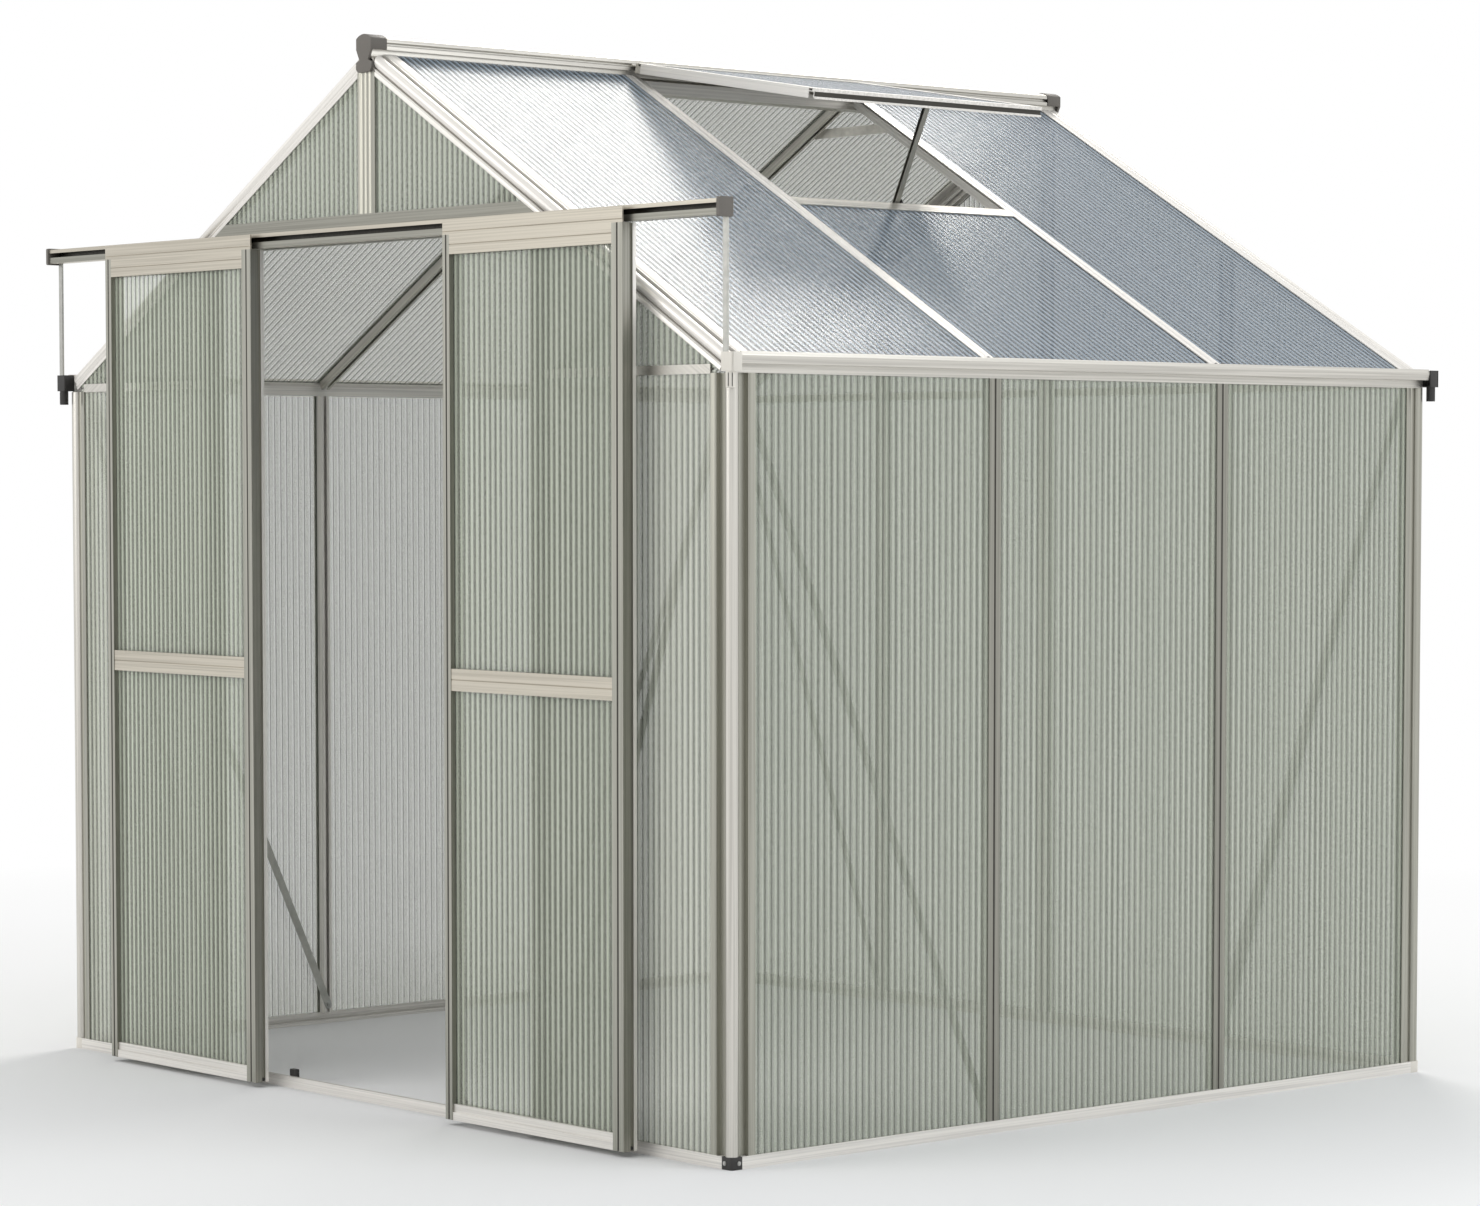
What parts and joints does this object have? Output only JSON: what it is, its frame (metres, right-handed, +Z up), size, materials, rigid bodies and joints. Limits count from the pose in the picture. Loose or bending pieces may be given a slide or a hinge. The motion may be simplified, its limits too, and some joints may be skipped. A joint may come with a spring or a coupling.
{
  "type": "aluminium greenhouse",
  "caption": "Walk-in greenhouse of aluminium extrusions and clear twin-wall sheets, with a pitched roof, gutters, a pair of sliding doors and a hinged roof vent on a stay.",
  "frame": {"origin": "on the ground, at the middle of the overall box", "axes": "+Z up, the door end faces -Y, the vent is on the +X slope"},
  "size_m": [2.2054, 1.974, 2.096],
  "materials": {
    "aluminium": "satin mill finish",
    "strip_metal": "plain strip",
    "twin_wall_sheet": "clear twin-wall sheet with ribs",
    "dark_plastic": "moulded",
    "outlet_plastic": "moulded",
    "roller_nylon": "turned"
  },
  "bodies": {
    "frame": {"base_corner_plugs": "dark_plastic", "collar_ties": "strip_metal", "door_header": "aluminium", "door_track": "aluminium", "eave_ties": "aluminium", "end_wall_braces": "strip_metal", "front_gable_panels": "twin_wall_sheet", "front_gable_post": "aluminium", "front_left_post": "aluminium", "front_rafters": "aluminium", "front_right_post": "aluminium", "front_sill": "aluminium", "front_wall_panels": "twin_wall_sheet", "gutter_outlets": "outlet_plastic", "left_door_jamb": "aluminium", "left_gutter": "aluminium", "left_roof_bars": "aluminium", "left_roof_panels": "twin_wall_sheet", "left_sill": "aluminium", "left_wall_bars": "aluminium", "left_wall_panels": "twin_wall_sheet", "rear_gable_panels": "twin_wall_sheet", "rear_left_post": "aluminium", "rear_rafters": "aluminium", "rear_right_post": "aluminium", "rear_sill": "aluminium", "rear_wall_bars": "aluminium", "rear_wall_panels": "twin_wall_sheet", "ridge_beam": "aluminium", "ridge_end_caps": "dark_plastic", "right_door_jamb": "aluminium", "right_gutter": "aluminium", "right_roof_bars": "aluminium", "right_roof_panels": "twin_wall_sheet", "right_sill": "aluminium", "right_wall_bars": "aluminium", "right_wall_panels": "twin_wall_sheet", "side_wall_braces": "strip_metal", "threshold_clips": "dark_plastic", "track_end_caps": "dark_plastic", "track_struts": "strip_metal", "vent_sill": "aluminium"},
    "left_door": {"left_door_hanger": "aluminium", "left_door_stiles": "aluminium", "left_door_rails": "aluminium", "left_door_panels": "twin_wall_sheet"},
    "right_door": {"right_door_hanger": "aluminium", "right_door_stiles": "aluminium", "right_door_rails": "aluminium", "right_door_panels": "twin_wall_sheet"},
    "left_inner_roller": {"left_inner_roller": "roller_nylon"},
    "left_outer_roller": {"left_outer_roller": "roller_nylon"},
    "right_inner_roller": {"right_inner_roller": "roller_nylon"},
    "right_outer_roller": {"right_outer_roller": "roller_nylon"},
    "vent": {"vent_top_rail": "aluminium", "vent_frame": "aluminium", "vent_panel": "twin_wall_sheet"},
    "vent_stay": {"vent_stay": "strip_metal"}
  },
  "joints": [
    {"name": "left_door_slide", "type": "slide", "parent": "frame", "child": "left_door", "axis": [-1, 0, 0], "range_m": [-0.316, 0.225]},
    {"name": "right_door_slide", "type": "slide", "parent": "frame", "child": "right_door", "axis": [1, 0, 0], "range_m": [-0.316, 0.225]},
    {"name": "left_inner_roller_spin", "type": "hinge", "parent": "left_door", "child": "left_inner_roller", "pos_m": [-0.377, -0.9585, 1.70913], "axis": [0, 1, 0], "continuous": true},
    {"name": "left_outer_roller_spin", "type": "hinge", "parent": "left_door", "child": "left_outer_roller", "pos_m": [-0.789, -0.9585, 1.70913], "axis": [0, 1, 0], "continuous": true},
    {"name": "right_inner_roller_spin", "type": "hinge", "parent": "right_door", "child": "right_inner_roller", "pos_m": [0.377, -0.9585, 1.70913], "axis": [0, 1, 0], "continuous": true},
    {"name": "right_outer_roller_spin", "type": "hinge", "parent": "right_door", "child": "right_outer_roller", "pos_m": [0.789, -0.9585, 1.70913], "axis": [0, 1, 0], "continuous": true},
    {"name": "vent_hinge", "type": "hinge", "parent": "frame", "child": "vent", "pos_m": [0.0195, 0.038, 2.077], "axis": [0, -1, 0], "range_deg": [-20.7, 0]},
    {"name": "stay_pivot", "type": "hinge", "parent": "vent", "child": "vent_stay", "pos_m": [0.56906, 0.038, 1.9806], "axis": [0, -1, 0], "range_deg": [-74.5, 0.5]}
  ],
  "couplings": [
    {"joint": "left_inner_roller_spin", "follows": "left_door_slide", "rad_per_m": -133.33},
    {"joint": "left_outer_roller_spin", "follows": "left_door_slide", "rad_per_m": -133.33},
    {"joint": "right_inner_roller_spin", "follows": "right_door_slide", "rad_per_m": 133.33},
    {"joint": "right_outer_roller_spin", "follows": "right_door_slide", "rad_per_m": 133.33},
    {"joint": "stay_pivot", "follows": "vent_hinge", "ratio": 3.5721}
  ]
}
